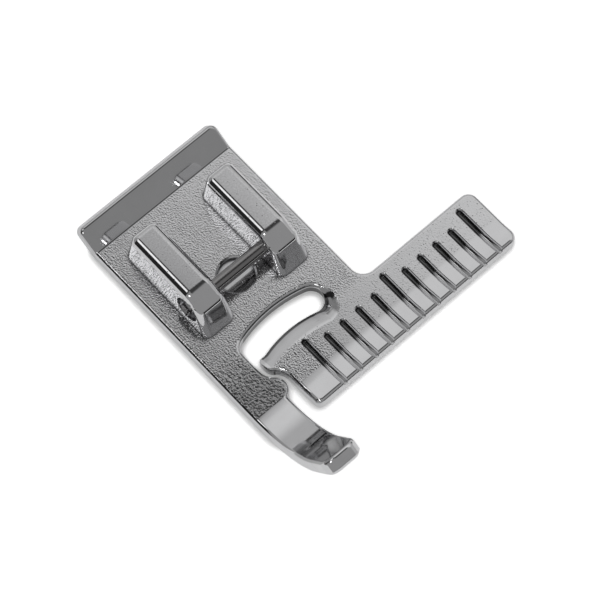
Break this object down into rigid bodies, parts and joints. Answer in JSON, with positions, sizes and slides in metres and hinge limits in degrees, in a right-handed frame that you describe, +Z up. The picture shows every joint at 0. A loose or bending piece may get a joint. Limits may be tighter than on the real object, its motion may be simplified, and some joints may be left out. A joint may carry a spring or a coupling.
{
  "type": "sewing machine presser foot",
  "caption": "Clip-on sewing machine presser foot with a curved needle slot, upturned toe and heel, lugs that carry a cross pin, and a grooved measuring arm to the right of the needle.",
  "frame": {"origin": "on the sole, straight below the middle of the snap pin, on the needle line", "axes": "+X along the measuring arm, +Y to the rear of the machine, +Z up from the sole"},
  "size_m": [0.039, 0.0457, 0.0111],
  "materials": {
    "plated_casting": "bright plating over a finely pebbled casting, smooth where the plate bends up",
    "pin_steel": "turned and plated"
  },
  "bodies": {
    "root": {"foot": "plated_casting", "snap_pin": "pin_steel"}
  },
  "joints": []
}
